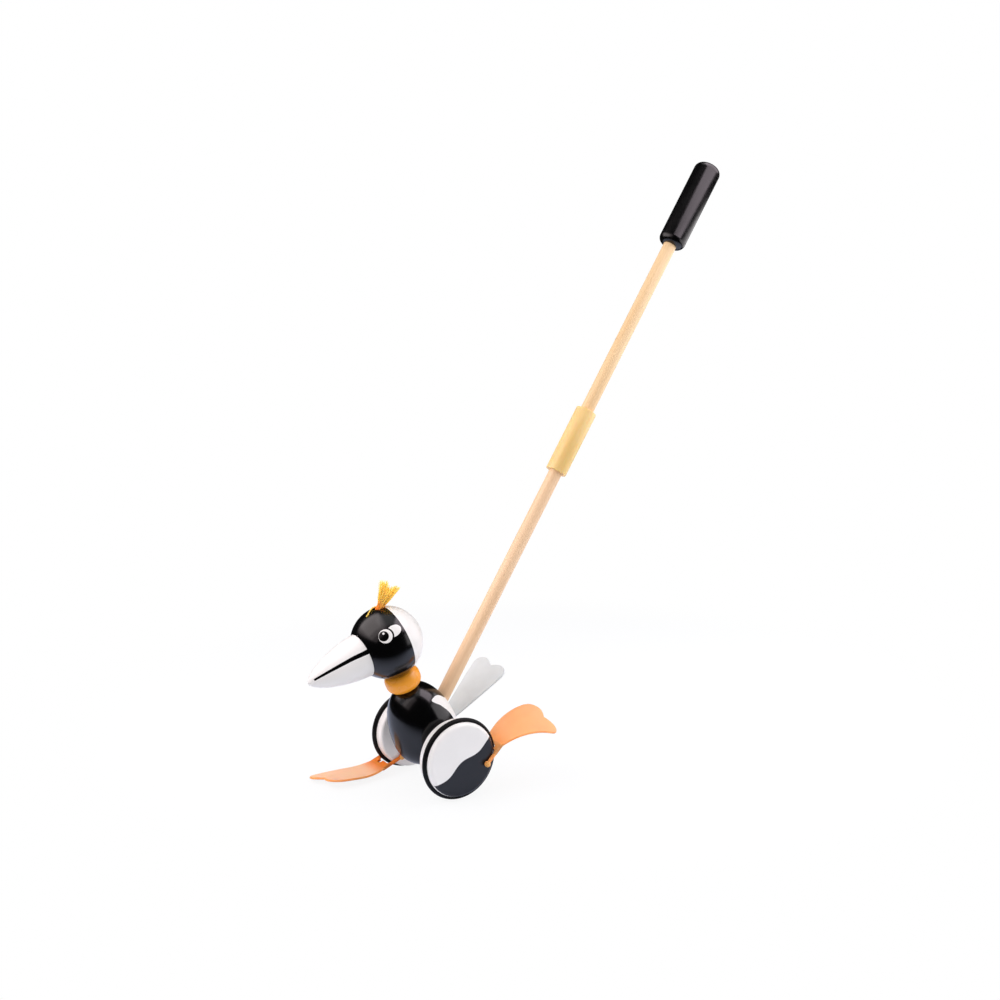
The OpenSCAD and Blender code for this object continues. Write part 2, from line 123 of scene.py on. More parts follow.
def linear(hex_colour):
    """An sRGB hex colour as linear red, green, blue and alpha."""
    parts = [int(hex_colour[i:i + 2], 16) / 255 for i in (1, 3, 5)]
    return tuple(c / 12.92 if c <= 0.04045 else ((c + 0.055) / 1.055) ** 2.4 for c in parts) + (1.0,)


def add(tree, kind, inputs=None, **settings):
    """One new node; each input is a value, a socket, or a node whose first output is used."""
    node = tree.nodes.new("ShaderNode" + kind)
    for name, value in settings.items():
        setattr(node, name, value)
    for key, value in (inputs or {}).items():
        if isinstance(value, bpy.types.Node):
            value = value.outputs[0]
        if isinstance(value, bpy.types.NodeSocket):
            tree.links.new(value, node.inputs[key])
        else:
            node.inputs[key].default_value = value
    return node


def new_finish(name):
    finish = bpy.data.materials.new(name)
    finish.use_nodes = True
    finish.node_tree.nodes.clear()
    return finish, finish.node_tree


def maths(tree, operation, *values, **settings):
    return add(tree, "Math", dict(enumerate(values)), operation=operation, **settings)


def own_axes(tree, place, cell):
    """Coordinates in a piece's own axes, counted in cells of so many millimetres along x, y and z."""
    at, turned_by, _ = place.decompose()
    coordinates = add(tree, "TexCoord").outputs["Object"]
    return add(tree, "Mapping", {
        "Vector": coordinates, "Location": at * MM, "Rotation": turned_by.to_euler(),
        "Scale": [c * MM for c in cell],
    }, vector_type="TEXTURE")


def noise_of(tree, place, cell, detail):
    """Soft noise in a piece's own axes, in cells of so many millimetres along x, y and z."""
    return add(tree, "TexNoise", {"Vector": own_axes(tree, place, cell), "Scale": 1.0, "Detail": detail})


NOISE_RUN, WIDE_NOISE_RUN = (0.3, 0.7), (0.25, 0.75)


def spread(tree, value, low, high, run=NOISE_RUN):
    """A value's usual run, which is a noise's if no other is given, carried to the run from low to high."""
    return add(tree, "MapRange", {
        "Value": value, "From Min": run[0], "From Max": run[1], "To Min": low, "To Max": high})


def smooth_run(tree, value, start, end, low=0.0, high=1.0):
    """Goes smoothly from low to high while a value goes from start to end."""
    return add(tree, "MapRange", {
        "Value": value, "From Min": start, "From Max": end, "To Min": low, "To Max": high},
        interpolation_type="SMOOTHSTEP")


def blend(tree, share, first, second):
    """A colour between two others: the first where share is 0 and the second where it is 1."""
    return add(tree, "Mix", {"Factor": share, 6: first, 7: second}, data_type="RGBA").outputs[2]


def mask_of(tree, distance):
    """1 inside a painted shape and 0 outside it, from a distance in millimetres to its edge."""
    return add(tree, "MapRange", {"Value": distance, "From Min": -PAINT_BLEED, "From Max": PAINT_BLEED})


def marks_of(tree, name):
    """The three numbers that a mesh holds under a name."""
    held = add(tree, "Attribute", attribute_name=name)
    return add(tree, "SeparateXYZ", {0: held.outputs["Vector"]}).outputs


# Lacquer sprayed on turned beech: the film levels almost flat, so the eye sees clear reflections with the
# faintest waviness, and a little unevenness in the gloss where the wood drank more.
SPRAY_WAVE_MM, SPRAY_FILM_MM, GLOSS_PATCH_MM = 4.0, 0.012, 22.0
BLACK_LACQUER, WHITE_LACQUER, SLATE_LACQUER, ORANGE_LACQUER = "#030304", "#f2f1f0", "#090b10", "#ffa72e"
BLACK_ROUGH, WHITE_ROUGH, SLATE_ROUGH, ORANGE_ROUGH, GRIP_ROUGH = 0.17, 0.3, 0.3, 0.26, 0.22
LACQUER_IOR, PLAIN_TONE, PAINT_TONE = 1.5, (0.95, 1.03), (0.97, 1.02)
PLAIN_UNEVEN, PAINT_UNEVEN = (-0.03, 0.05), (-0.02, 0.03)


def spray_film(tree, place):
    """The film's own unevenness: where it is glossier, and its faint waves as a normal."""
    patch = noise_of(tree, place, [GLOSS_PATCH_MM] * 3, detail=3.0)
    wave = noise_of(tree, place, [SPRAY_WAVE_MM] * 3, detail=2.0)
    return patch, add(tree, "Bump", {"Height": wave, "Strength": 1.0, "Distance": SPRAY_FILM_MM * MM})


def lacquer(name, place, colour, rough):
    """One colour of sprayed lacquer."""
    finish, tree = new_finish(name)
    patch, film = spray_film(tree, place)
    tone = spread(tree, patch, *PLAIN_TONE, WIDE_NOISE_RUN)
    shade = add(tree, "HueSaturation", {"Color": linear(colour), "Value": tone})
    gloss = spread(tree, patch, *(rough + step for step in PLAIN_UNEVEN))
    shader = add(tree, "BsdfPrincipled", {
        "Base Color": shade, "Roughness": gloss, "IOR": LACQUER_IOR, "Normal": film})
    add(tree, "OutputMaterial", {"Surface": shader})
    return finish


def painted_lacquer(name, place, paint, dark_colour=BLACK_LACQUER, dark_rough=BLACK_ROUGH):
    """White lacquer with a darker paint over it; paint(tree) is 1 where the dark paint lies."""
    finish, tree = new_finish(name)
    patch, film = spray_film(tree, place)
    dark = paint(tree)
    colour = blend(tree, dark, linear(WHITE_LACQUER), linear(dark_colour))
    tone = spread(tree, patch, *PAINT_TONE, WIDE_NOISE_RUN)
    shade = add(tree, "HueSaturation", {"Color": colour, "Value": tone})
    gloss = add(tree, "MapRange", {"Value": dark, "To Min": WHITE_ROUGH, "To Max": dark_rough})
    rough = maths(tree, "ADD", gloss, spread(tree, patch, *PAINT_UNEVEN))
    shader = add(tree, "BsdfPrincipled", {
        "Base Color": shade, "Roughness": rough, "IOR": LACQUER_IOR, "Normal": film})
    add(tree, "OutputMaterial", {"Surface": shader})
    return finish


def head_paint(tree):
    """Black face and white back of the head, with a printed eye and brow on each side."""
    eye, iris, glint = marks_of(tree, "eye")
    rear, brow, gap = marks_of(tree, "hood")
    ring = maths(tree, "SUBTRACT", mask_of(tree, eye), mask_of(tree, iris), use_clamp=True)
    lobe = maths(tree, "MULTIPLY", mask_of(tree, brow), mask_of(tree, gap))
    white = maths(tree, "MAXIMUM", ring, mask_of(tree, glint))
    white = maths(tree, "MAXIMUM", white, lobe)
    white = maths(tree, "MAXIMUM", white, mask_of(tree, rear))
    return maths(tree, "SUBTRACT", 1.0, white)


def beak_paint(tree):
    """White beak with a black mouth line brushed along each side."""
    off, half, left = marks_of(tree, "mouth")
    inside = maths(tree, "SUBTRACT", half, maths(tree, "ABSOLUTE", off))
    return maths(tree, "MULTIPLY", mask_of(tree, inside), mask_of(tree, left))


def body_paint(tree):
    """Black body with a white patch masked round the stick."""
    patch = mask_of(tree, marks_of(tree, "patch")[0])
    return maths(tree, "SUBTRACT", 1.0, patch)


def wheel_paint(tree):
    """White wheel with a dark wave printed on its outer face."""
    below, face, _ = marks_of(tree, "wave")
    return maths(tree, "MULTIPLY", mask_of(tree, below), mask_of(tree, face))


# Planed beech dowel: pale pinkish wood, with fine straight grain along the stick and the short dark flecks of
# its rays. Both are drawn a little coarser than in real beech, so that they show.
GRAIN_MM, BAND_MM, FLECK_MM = (1.4, 1.4, 60.0), (7.0, 7.0, 120.0), (0.6, 0.6, 7.0)
PORE_MM, BEECH_ROUGH = 0.03, (0.45, 0.6)
LINES_SHOW, FLECKS_SHOW, FLECK_STRENGTH, FLECK_BROWN = (0.7, 1.35), (0.64, 0.78), 0.16, "#b98a5c"


def beech(name, place, pale, brown):
    finish, tree = new_finish(name)
    grain = noise_of(tree, place, GRAIN_MM, detail=4.0)
    band = noise_of(tree, place, BAND_MM, detail=2.0)
    fleck = noise_of(tree, place, FLECK_MM, detail=1.0)
    lines = maths(tree, "ADD", grain, band)
    wood = blend(tree, spread(tree, lines, 0.0, 1.0, LINES_SHOW), linear(pale), linear(brown))
    spots = spread(tree, fleck, 0.0, FLECK_STRENGTH, FLECKS_SHOW)
    wood = blend(tree, spots, wood, linear(FLECK_BROWN))
    rough = spread(tree, grain, *BEECH_ROUGH)
    pores = add(tree, "Bump", {"Height": grain, "Strength": 0.6, "Distance": PORE_MM * MM})
    shader = add(tree, "BsdfPrincipled", {"Base Color": wood, "Roughness": rough, "Normal": pores})
    add(tree, "OutputMaterial", {"Surface": shader})
    return finish


# Moulded soft PVC flap, about 2 mm thick: light goes a little way in, so the sheet glows, its cut edge looks
# deeper in colour, and the moulded skin has a fine sandy grain.
SKIN_MM, SKIN_HEIGHT_MM, CLOUD_MM = 0.7, 0.03, 14.0
EDGE_TONE_MM, STEM_TONE_MM, SHEET_GLOW_MM = (0.2, 1.6), 16.0, 2.0
SHEET_TONE, SHEET_ROUGH = (0.96, 1.03), (0.42, 0.55)


def soft_sheet(name, place, face, edge, stem, glow):
    finish, tree = new_finish(name)
    rim, along, _ = marks_of(tree, "sheet")
    skin = noise_of(tree, place, [SKIN_MM] * 3, detail=2.0)
    cloud = noise_of(tree, place, [CLOUD_MM] * 3, detail=2.0)
    near_edge = smooth_run(tree, rim, *EDGE_TONE_MM, 1.0, 0.0)
    near_stem = smooth_run(tree, along, FORK_LEN, FORK_LEN + STEM_TONE_MM, 1.0, 0.0)
    colour = blend(tree, near_stem, linear(face), linear(stem))
    colour = blend(tree, near_edge, colour, linear(edge))
    colour = add(tree, "HueSaturation", {"Color": colour, "Value": spread(tree, cloud, *SHEET_TONE)})
    rough = spread(tree, skin, *SHEET_ROUGH)
    sand = add(tree, "Bump", {"Height": skin, "Strength": 0.5, "Distance": SKIN_HEIGHT_MM * MM})
    shader = add(tree, "BsdfPrincipled", {
        "Base Color": colour, "Roughness": rough, "Normal": sand, "Subsurface Weight": 0.35,
        "Subsurface Radius": glow, "Subsurface Scale": SHEET_GLOW_MM * MM})
    add(tree, "OutputMaterial", {"Surface": shader})
    return finish


# Moulded and extruded parts: one even colour with slight streaks along the draw, and a fine skin with a soft
# sheen.
MOULDED_GLOW, MOULDED_GLOW_MM = (1.0, 0.6, 0.25), 3.0


def moulded(name, place, pale, deep, streak_mm, rough, skin_mm, skin_high_mm, subsurface=0.0, sheen=0.5):
    finish, tree = new_finish(name)
    drawn = noise_of(tree, place, streak_mm, detail=3.0)
    skin = noise_of(tree, place, [skin_mm] * 3, detail=2.0)
    colour = blend(tree, spread(tree, drawn, 0.0, 1.0), linear(pale), linear(deep))
    grain = add(tree, "Bump", {"Height": skin, "Strength": 0.6, "Distance": skin_high_mm * MM})
    shader = add(tree, "BsdfPrincipled", {
        "Base Color": colour, "Roughness": spread(tree, skin, *rough), "Normal": grain,
        "Specular IOR Level": sheen, "Subsurface Weight": subsurface,
        "Subsurface Radius": MOULDED_GLOW, "Subsurface Scale": MOULDED_GLOW_MM * MM})
    add(tree, "OutputMaterial", {"Surface": shader})
    return finish


# Dyed acrylic yarn, two plies twisted: matt, with a soft halo of fibre, deeper in the shade of the hole and
# paler at the cut ends, and thin enough to let light through. Each strand keeps its own shade.
YARN_ROOT, YARN_TIP, TIP_FROM, YARN_CLEAR = "#ffc046", "#ffee9c", 0.4, 0.65
YARN_FIBRE_MM, YARN_FUZZ_MM, YARN_SHADES, YARN_TONE = (0.25, 0.25, 2.0), 0.05, (0.3, 1.6), (0.9, 1.15)


def dyed_yarn(name):
    finish, tree = new_finish(name)
    along, shade, _ = marks_of(tree, "strand")
    fibre = noise_of(tree, on_crest, YARN_FIBRE_MM, detail=2.0)
    colour = blend(tree, spread(tree, along, 0.0, 1.0, (0.0, TIP_FROM)), linear(YARN_ROOT), linear(YARN_TIP))
    tint = spread(tree, maths(tree, "ADD", shade, fibre), *YARN_TONE, YARN_SHADES)
    colour = add(tree, "HueSaturation", {"Color": colour, "Value": tint})
    fuzz = add(tree, "Bump", {"Height": fibre, "Strength": 0.7, "Distance": YARN_FUZZ_MM * MM})
    shader = add(tree, "BsdfPrincipled", {
        "Base Color": colour, "Roughness": 0.85, "Normal": fuzz, "Sheen Weight": 0.25,
        "Sheen Roughness": 0.4})
    through = add(tree, "BsdfTranslucent", {"Color": colour, "Normal": fuzz})
    add(tree, "OutputMaterial", {
        "Surface": add(tree, "MixShader", {0: YARN_CLEAR, 1: shader, 2: through})})
    return finish


# ---------------- shapes


# An edge that turns through more degrees than this looks sharp.
CREASE, YARN_CREASE, SHEET_CREASE = 38, 70, 50


def make_piece(name, points, faces, place, finish, body, nodes, marks=None, crease=CREASE):
    """One mesh piece in the part's frame, riding on a body in place of its CAD nodes."""
    mesh = bpy.data.meshes.new(name)
    mesh.from_pydata([(place @ Vector(p)) * MM for p in points], [], faces)
    shell = bmesh.new()
    shell.from_mesh(mesh)
    bmesh.ops.recalc_face_normals(shell, faces=shell.faces)
    shell.to_mesh(mesh)
    shell.free()
    mesh.shade_smooth()
    mesh.set_sharp_from_angle(angle=math.radians(crease))
    for label, values in (marks or {}).items():
        held = mesh.attributes.new(label, "FLOAT_VECTOR", "POINT")
        held.data.foreach_set("vector", [c for value in values for c in value])
    mesh.materials.append(finish)
    piece = bpy.data.objects.new(name, mesh)
    bpy.context.scene.collection.objects.link(piece)
    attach(piece, body)
    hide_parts(*nodes)


def circle(radius, count):
    return [(radius * math.cos(2 * math.pi * k / count), radius * math.sin(2 * math.pi * k / count))
            for k in range(count)]


def turned(profile, turns):
    """Points and faces of a lathe-turned solid about z, from (radius, height) pairs."""
    points, rings, faces = [], [], []
    for radius, height in profile:
        start = len(points)
        if radius < 1e-6:
            points.append((0.0, 0.0, height))
            rings.append([start] * turns)
        else:
            points += [(x, y, height) for x, y in circle(radius, turns)]
            rings.append(list(range(start, start + turns)))
    for low, high in zip(rings, rings[1:]):
        for k in range(turns):
            loop = [low[k], low[(k + 1) % turns], high[(k + 1) % turns], high[k]]
            faces.append(list(dict.fromkeys(loop)))
    return points, faces


EASE_STEPS, NEARLY_STRAIGHT = 4, 0.86


def eased(profile, radius):
    """A profile with its corners rounded off by about a radius."""
    result = [profile[0]]
    for before, corner, after in zip(profile, profile[1:], profile[2:]):
        a, c, b = Vector(before), Vector(corner), Vector(after)
        if (c - a).normalized().dot((b - c).normalized()) > NEARLY_STRAIGHT:
            result.append(corner)
            continue
        start = c + (a - c).normalized() * min(radius, (a - c).length / 2)
        end = c + (b - c).normalized() * min(radius, (b - c).length / 2)
        for k in range(EASE_STEPS + 1):
            t = k / EASE_STEPS
            result.append(tuple(start * (1 - t) ** 2 + c * 2 * t * (1 - t) + end * t * t))
    return result + [profile[-1]]


def arc(centre, radius, start, end, steps):
    return [(centre[0] + radius * math.cos(math.radians(start + (end - start) * k / steps)),
             centre[1] + radius * math.sin(math.radians(start + (end - start) * k / steps)))
            for k in range(steps + 1)]


def flat_steps(start, end, height, count):
    """Points along a flat face of a turned piece, so that paint on it has points to hold on to."""
    return [(start + (end - start) * k / count, height) for k in range(count + 1)]


def smooth_step(low, high, value):
    t = min(1.0, max(0.0, (value - low) / (high - low)))
    return t * t * (3 - 2 * t)


# ---------------- body, head and beak


def egg_radius(height):
    t = (height - BELLY_RISE) / CROWN_H if height > BELLY_RISE else (BELLY_RISE - height) / BASE_H
    return BODY_R * max(0.0, 1 - abs(t) ** BODY_SWELL) ** (1 / BODY_SWELL)


# Side edge of the white patch: height on the body and angle from straight back.
PATCH_SIDE = [
    (-14.0, 24.0), (-4.0, 38.0), (8.0, 43.0), (20.6, 44.5), (28.6, 48.3), (37.7, 57.0), (45.0, 69.0),
    (58.0, 92.0)]
# Top edge of the patch: angle from straight back and height, down to the stick's hole.
PATCH_TOP = [
    (0.0, 32.0), (18.0, 33.5), (27.0, 37.0), (33.5, 40.6), (40.5, 43.5), (50.0, 45.2), (60.0, 45.6),
    (80.0, 45.6)]
PATCH_BOTTOM, PATCH_CORNER = -6.0, 2.6


def between(table, value):
    """A value read off a table of pairs, with straight runs between them."""
    for (a, first), (b, second) in zip(table, table[1:]):
        if value <= b:
            return first + (second - first) * max(0.0, (value - a) / (b - a))
    return table[-1][1]


def patch_edge(point):
    """Distance inside the white patch of the body, in millimetres."""
    x, y, z = point
    angle = math.degrees(math.atan2(abs(x), y))
    side = math.radians(between(PATCH_SIDE, z) - angle) * math.hypot(x, y)
    top = between(PATCH_TOP, angle) - z
    near = max(0.0, 1 - abs(side - top) / PATCH_CORNER)
    return min(min(side, top) - near * near * PATCH_CORNER / 4, z - PATCH_BOTTOM)


def build_body():
    heights = [-BODY_DROP + (BODY_RISE + BODY_DROP) * k / BODY_STEPS for k in range(BODY_STEPS + 1)]
    profile = [(0.0, -BODY_DROP)] + [(egg_radius(h), h) for h in heights] + [(0.0, BODY_RISE)]
    points, faces = turned(eased(profile, BODY_EASE), BODY_TURNS)
    marks = {"patch": [(patch_edge(p), 0.0, 0.0) for p in points]}
    finish = painted_lacquer("body_lacquer", on_lean, body_paint)
    make_piece("body_egg", points, faces, on_lean, finish, "bird", ["body"], marks)


EYE_AT, EYE_WHITE_R = Vector((24.09, 16.02, 8.67)), 5.75
IRIS_AT, IRIS_R = Vector((23.4, 16.35, 9.85)), 4.15
GLINT_AT, GLINT_R = Vector((22.4, 18.15, 8.99)), 1.0
EYE_GAP = 7.1
BROW_AT, BROW_AXES, BROW_TILT = (7.89, 0.49), (6.52, 4.64), 6.06
BROW_REACH = 2.5 * BROW_AXES[0]
HOOD_EDGE, HOOD_SLANT = -8.7, 0.025
EYE_BACK, EYE_UP = Vector((0.24, 0.16, -0.96)), Vector((-0.55, 0.83, 0.0))


def eye_marks(point):
    """Distances inside the eye's white, its iris and its glint."""
    p = Vector((abs(point[0]), point[1], point[2]))
    return (EYE_WHITE_R - (p - EYE_AT).length, IRIS_R - (p - IRIS_AT).length,
            GLINT_R - (p - GLINT_AT).length)


def hood_marks(point):
    """Distances behind the black face, inside the brow's ellipse and outside the dark line round the eye."""
    p = Vector((abs(point[0]), point[1], point[2]))
    out = p - EYE_AT
    s, t = out.dot(EYE_BACK) - BROW_AT[0], out.dot(EYE_UP) - BROW_AT[1]
    tilt = math.radians(BROW_TILT)
    along, across = s * math.cos(tilt) + t * math.sin(tilt), -s * math.sin(tilt) + t * math.cos(tilt)
    brow = (1 - math.hypot(along / BROW_AXES[0], across / BROW_AXES[1])) * BROW_AXES[1]
    if out.length > BROW_REACH:
        brow = -BROW_AXES[1]
    return (HOOD_EDGE + HOOD_SLANT * p.y - p.z, brow, out.length - EYE_GAP)


def build_head():
    end = math.acos(BEAK_SEAT / HEAD_R)
    angles = [math.pi + (end - math.pi) * k / HEAD_STEPS for k in range(HEAD_STEPS + 1)]
    profile = [(HEAD_R * math.sin(a), HEAD_R * math.cos(a)) for a in angles]
    profile[0] = (0.0, -HEAD_R)
    points, faces = turned(profile + [(0.0, BEAK_SEAT)], HEAD_TURNS)
    # the ball is faced flat where it sits on the ring
    down = (on_beak.to_3x3().transposed() @ on_lean.to_3x3()) @ Vector((0, 0, -1))
    seat = HEAD_LIFT - RING_TOP
    points = [Vector(p) - down * max(0.0, Vector(p).dot(down) - seat) for p in points]
    marks = {"eye": [eye_marks(p) for p in points], "hood": [hood_marks(p) for p in points]}
    finish = painted_lacquer("head_lacquer", on_beak, head_paint)
    make_piece("head_ball", points, faces, on_beak, finish, "bird", ["head"], marks)


MOUTH_RISE, MOUTH_BASE_RISE, MOUTH_BEND_END, MOUTH_END = 0.52, 0.47, 40.0, 70.3
MOUTH_HALF_BASE, MOUTH_HALF_TIP, MOUTH_HALF_LEAST = 1.95, 0.9, 0.1


def mouth_marks(point):
    """How far a point lies off the mouth line, half the line's width there, and how much is left of it."""
    x, y, z = abs(point[0]), point[1], point[2]
    rise = MOUTH_BASE_RISE + (MOUTH_RISE - MOUTH_BASE_RISE) * smooth_step(BEAK_SEAT, MOUTH_BEND_END, z)
    run = math.hypot(1, rise)
    share = (z - BEAK_SEAT) / (MOUTH_END - BEAK_SEAT)
    half = MOUTH_HALF_BASE + (MOUTH_HALF_TIP - MOUTH_HALF_BASE) * share
    return ((y - rise * x) / run, max(half, MOUTH_HALF_LEAST), MOUTH_END - z)


def build_beak():
    profile = [(0.0, BEAK_SEAT)]
    for k in range(BEAK_STEPS + 1):
        t = 1 - (1 - k / BEAK_STEPS) ** BEAK_CROWD
        radius = BEAK_R * max(0.0, 1 - t ** BEAK_SWELL) ** (1 / BEAK_SWELL)
        profile.append((radius, BEAK_SEAT + BEAK_LEN * t))
    profile[-1] = (0.0, BEAK_SEAT + BEAK_LEN)
    points, faces = turned(eased(profile, BEAK_EASE), BEAK_TURNS)
    marks = {"mouth": [mouth_marks(p) for p in points]}
    finish = painted_lacquer("beak_lacquer", on_beak, beak_paint)
    make_piece("beak_cone", points, faces, on_beak, finish, "bird", ["beak"], marks)


# ---------------- crest of yarn


def along_path(path):
    """A direction and two cross directions at each point of a path, turning as little as they can."""
    ways = [(b - a).normalized() for a, b in zip(path, path[1:])]
    ways.append(ways[-1])
    side = ways[0].orthogonal().normalized()
    result = []
    for way in ways:
        side = (side - way * side.dot(way)).normalized()
        result.append((way, side, way.cross(side)))
    return result


def ring_faces(start, rings, sides):
    """Faces of a tube whose rings of points follow one another from start, with a flat face at each end."""
    faces = []
    for ring in range(rings - 1):
        for k in range(sides):
            a, b = start + ring * sides + k, start + ring * sides + (k + 1) % sides
            faces.append((a, b, b + sides, a + sides))
    faces.append(tuple(start + k for k in reversed(range(sides))))
    faces.append(tuple(start + (rings - 1) * sides + k for k in range(sides)))
    return faces


def tube(path, radii, sides, start):
    """Points and faces of a round tube with flat ends; faces count from start."""
    points = []
    for at, radius, (_, side, cross) in zip(path, radii, along_path(path)):
        points += [at + (side * c + cross * s) * radius for c, s in circle(1.0, sides)]
    return points, ring_faces(start, len(path), sides)


def smooth_path(anchors, count):
    """Points on a smooth curve through anchors."""
    anchors = [anchors[0] * 2 - anchors[1]] + anchors + [anchors[-1] * 2 - anchors[-2]]
    result = []
    for k in range(count + 1):
        s = k / count * (len(anchors) - 3)
        i = min(int(s), len(anchors) - 4)
        t = s - i
        a, b, c, d = anchors[i:i + 4]
        low_powers = 2 * b + (c - a) * t + (2 * a - 5 * b + 4 * c - d) * t * t
        result.append(0.5 * (low_powers + (3 * b - a - 3 * c + d) * t ** 3))
    return result


YARN_STRANDS, YARN_R, PLY_R, PLY_PITCH, PLY_SIDES = 52, 0.30, 0.36, 4.2, 7
FIBRES, FIBRE_R, FIBRE_SIDES = 120, 0.10, 4
# Strands stand in a spiral, each so many radians on from the last, and are glued in so deep.
NEXT_STRAND, STRAND_STEPS, ROOT_DEEP = 2.39996, 14, 2.5
NECK_IN, NECK_RATE, SPREAD_POWER, SWAY = 0.25, 2.2, 1.5, 0.9
PLY_OPENS, PLY_OPENS_FROM, PLY_THINS, PLY_THINS_FROM, PLY_SHADE_TURN = 1.1, 0.75, 0.45, 0.8, 6.0
# Between what limits a strand and a loose fibre differ from the others: turn, place, bow and length.
STRAND_TURN, STRAND_OUT, STRAND_BOW, STRAND_CUT = (-0.25, 0.25), (0.9, 1.0), (-1, 1), (0.84, 0.985)
FIBRE_BOW, FIBRE_CUT, FIBRE_OUT, FIBRE_OUT_MOST, FIBRE_THINS = (-2, 2), (0.8, 1.0), 1.05, 1.04, 0.5
OUTER_SHORT = 0.10
# The tuft is cut with a dip across its middle: which way it runs, how far out, how wide and how deep.
DIP_WAY, DIP_AT, DIP_HALF, DIP_DEEP = math.radians(57), 0.12, 0.3, 0.17
# One strand lies down over the face, in the beak's axes.
STRAY = [(-1.0, 29.6, -4.0), (-3.0, 31.2, -2.6), (-4.2, 31.2, 0.6), (-1.9, 30.9, 4.2), (0.5, 30.1, 7.5),
         (1.9, 29.3, 10.2)]
STRAY_STEPS, STRAY_SHADE = 16, 0.7


def build_crest():
    draw = random.Random(11)
    points, faces, marks = [], [], []

    def lay(path, radii, sides, shade):
        new_points, new_faces = tube(path, radii, sides, len(points))
        points.extend(new_points)
        faces.extend(new_faces)
        rings = len(path)
        marks.extend([(ring / (rings - 1), shade, 0.0) for ring in range(rings) for _ in range(sides)])

    def cut_at(around, out):
        """Share of its length that a strand keeps; out is 0 in the middle of the tuft and 1 outside."""
        off = (out * math.cos(around - DIP_WAY) - DIP_AT) / DIP_HALF
        return (1 - OUTER_SHORT * out) * (1 - DIP_DEEP * math.exp(-off * off))

    def fan(around, out, height, bow):
        """A path from the hole, upright at first and then spreading."""
        path = []
        for k in range(STRAND_STEPS + 1):
            t = k / STRAND_STEPS
            away = CREST_HOLE_R * out * (1 - NECK_IN * math.sin(math.pi * min(1, t * NECK_RATE)))
            away += (CREST_TOP_R - CREST_HOLE_R) * out * t ** SPREAD_POWER
            sway = bow * math.sin(math.pi * t) * SWAY
            path.append(Vector((away * math.cos(around) + sway * math.sin(around),
                                away * math.sin(around) - sway * math.cos(around),
                                -ROOT_DEEP + (height + ROOT_DEEP) * t)))
        return path

    def twist_plies(path, shade):
        """Two plies laid round a path."""
        run = 0.0
        lanes = ([], [])
        for k, (at, (_, side, cross)) in enumerate(zip(path, along_path(path))):
            if k:
                run += (at - path[k - 1]).length
            turn = 2 * math.pi * run / PLY_PITCH + shade * PLY_SHADE_TURN
            open_end = 1 + PLY_OPENS * smooth_step(PLY_OPENS_FROM, 1.0, k / (len(path) - 1))
            off = (side * math.cos(turn) + cross * math.sin(turn)) * YARN_R * open_end
            lanes[0].append(at + off)
            lanes[1].append(at - off)
        for lane in lanes:
            last = len(lane) - 1
            radii = [PLY_R * (1 - PLY_THINS * smooth_step(PLY_THINS_FROM, 1.0, k / last))
                     for k in range(last + 1)]
            lay(lane, radii, PLY_SIDES, shade)

    for n in range(YARN_STRANDS):
        out = math.sqrt((n + 0.5) / YARN_STRANDS)
        around = n * NEXT_STRAND + draw.uniform(*STRAND_TURN)
        height = CREST_H * draw.uniform(*STRAND_CUT) * cut_at(around, out)
        path = fan(around, out * draw.uniform(*STRAND_OUT), height, draw.uniform(*STRAND_BOW))
        twist_plies(path, draw.random())
    thinning = [FIBRE_R * (1 - FIBRE_THINS * k / STRAND_STEPS) for k in range(STRAND_STEPS + 1)]
    for n in range(FIBRES):
        around, out = draw.uniform(0, 2 * math.pi), math.sqrt(draw.random())
        height = CREST_H * draw.uniform(*FIBRE_CUT) * cut_at(around, out)
        path = fan(around, min(FIBRE_OUT_MOST, out * FIBRE_OUT), height, draw.uniform(*FIBRE_BOW))
        lay(path, thinning, FIBRE_SIDES, draw.random())
    to_crest = on_crest.inverted() @ on_beak
    twist_plies(smooth_path([to_crest @ Vector(p) for p in STRAY], STRAY_STEPS), STRAY_SHADE)
    make_piece("crest_yarn", points, faces, on_crest, dyed_yarn("yellow_acrylic_yarn"), "bird",
               ["crest_tuft"], {"strand": marks}, crease=YARN_CREASE)


# ---------------- wheels

# The printed wave, measured from the line through the pin; it laps a little way over the rounded edge.
WAVE_TURN, WAVE_OFF, WAVE_HIGH, WAVE_LONG, WAVE_START, WAVE_LAP = 48.17, -2.1, -1.73, 33.82, 5.02, 2.0


